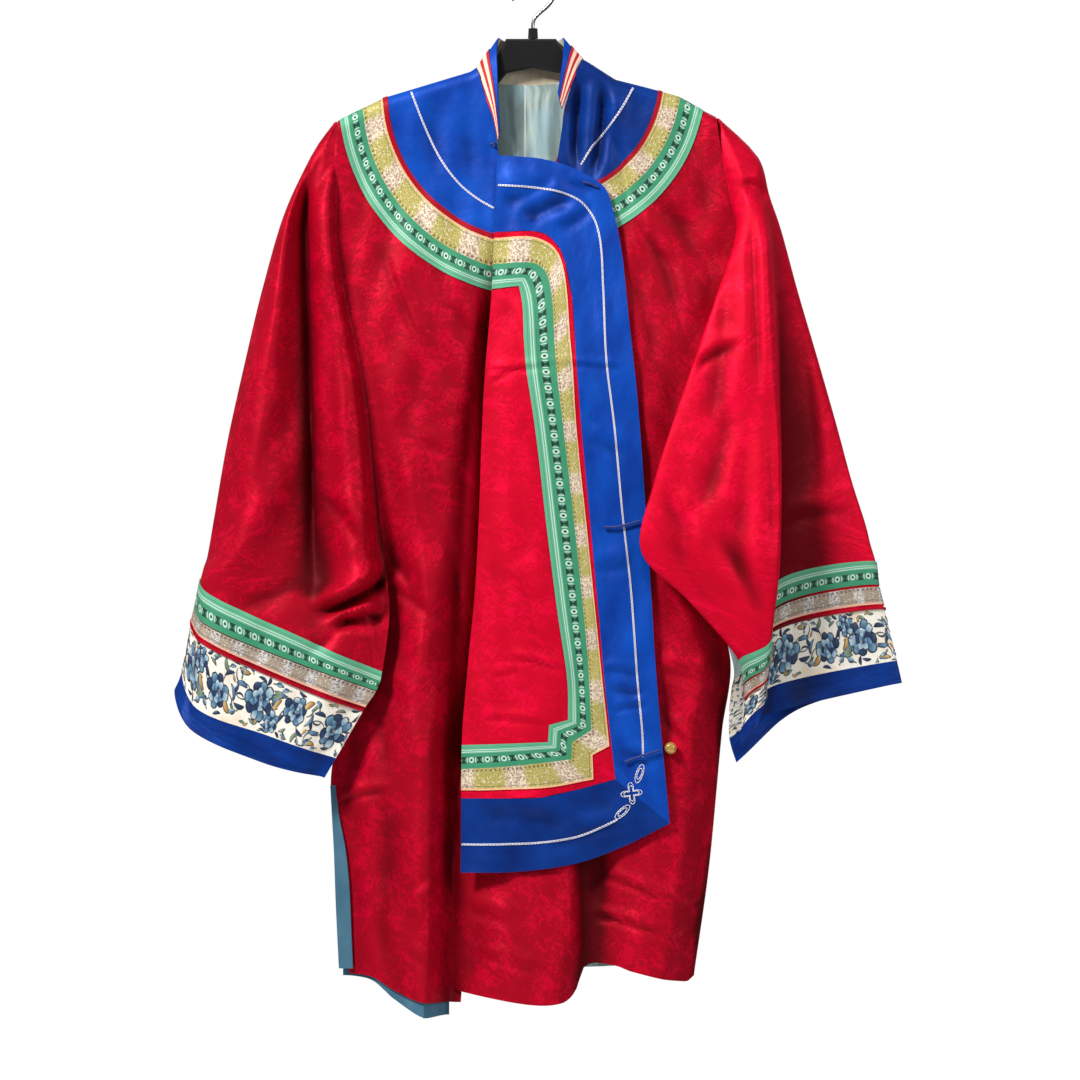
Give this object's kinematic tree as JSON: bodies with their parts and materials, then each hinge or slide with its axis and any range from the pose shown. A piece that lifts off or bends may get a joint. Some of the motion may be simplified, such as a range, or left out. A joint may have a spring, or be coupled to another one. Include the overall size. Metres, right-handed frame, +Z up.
{
  "type": "chinese silk robe on a hanger",
  "caption": "Side-fastening robe of red silk damask with blue borders and embroidered cuffs, hung on a black hanger.",
  "frame": {"origin": "inside top of the hanger's hook, where it rests on a rail", "axes": "+Z up, -Y out of the robe's front, +X towards the wearer's left"},
  "size_m": [0.7261, 0.1044, 1.052],
  "materials": {
    "red_silk": "satin",
    "blue_satin": "satin",
    "green_ribbon": "matte",
    "gold_brocade": "satin",
    "taupe_brocade": "satin",
    "ivory_embroidery": "satin",
    "red_piping": "satin",
    "slate_facing": "satin",
    "silver_cord": "satin",
    "peach_braid": "matte",
    "navy_loop": "satin",
    "button_brass": "polished",
    "hanger_black": "matte",
    "hook_steel": "polished"
  },
  "bodies": {
    "root": {"front_right": "red_silk", "front_left": "red_silk", "back": "red_silk", "facing_slit": "slate_facing", "facing_hem": "slate_facing", "sleeve_right": "red_silk", "cuff_green_right": "green_ribbon", "cuff_brocade_right": "taupe_brocade", "cuff_piping_right": "red_piping", "cuff_band_right": "ivory_embroidery", "cuff_edging_right": "blue_satin", "sleeve_left": "red_silk", "cuff_green_left": "green_ribbon", "cuff_brocade_left": "taupe_brocade", "cuff_piping_left": "red_piping", "cuff_band_left": "ivory_embroidery", "cuff_edging_left": "blue_satin", "flap_ground": "red_silk", "flap_border_side": "blue_satin", "flap_border_hem": "blue_satin", "flap_ribbon_green": "green_ribbon", "flap_ribbon_gold": "gold_brocade", "flap_cord_side": "silver_cord", "flap_cord_hem": "silver_cord", "flap_cord_knot": "silver_cord", "yoke_right": "blue_satin", "yoke_piping_right": "red_piping", "yoke_gold_right": "gold_brocade", "yoke_green_right": "green_ribbon", "yoke_left": "blue_satin", "yoke_piping_left": "red_piping", "yoke_gold_left": "gold_brocade", "yoke_green_left": "green_ribbon", "yoke_back": "blue_satin", "yoke_piping_back": "red_piping", "yoke_gold_back": "gold_brocade", "yoke_green_back": "green_ribbon", "yoke_cord_right": "silver_cord", "yoke_cord_left": "silver_cord", "collar": "blue_satin", "collar_braid": "peach_braid", "loop_middle": "navy_loop", "loop_lower": "navy_loop", "loop_collar": "navy_loop", "loop_neck": "navy_loop", "ball_button": "button_brass", "hanger": "hanger_black", "hook": "hook_steel", "hook_socket": "hanger_black"}
  },
  "joints": []
}
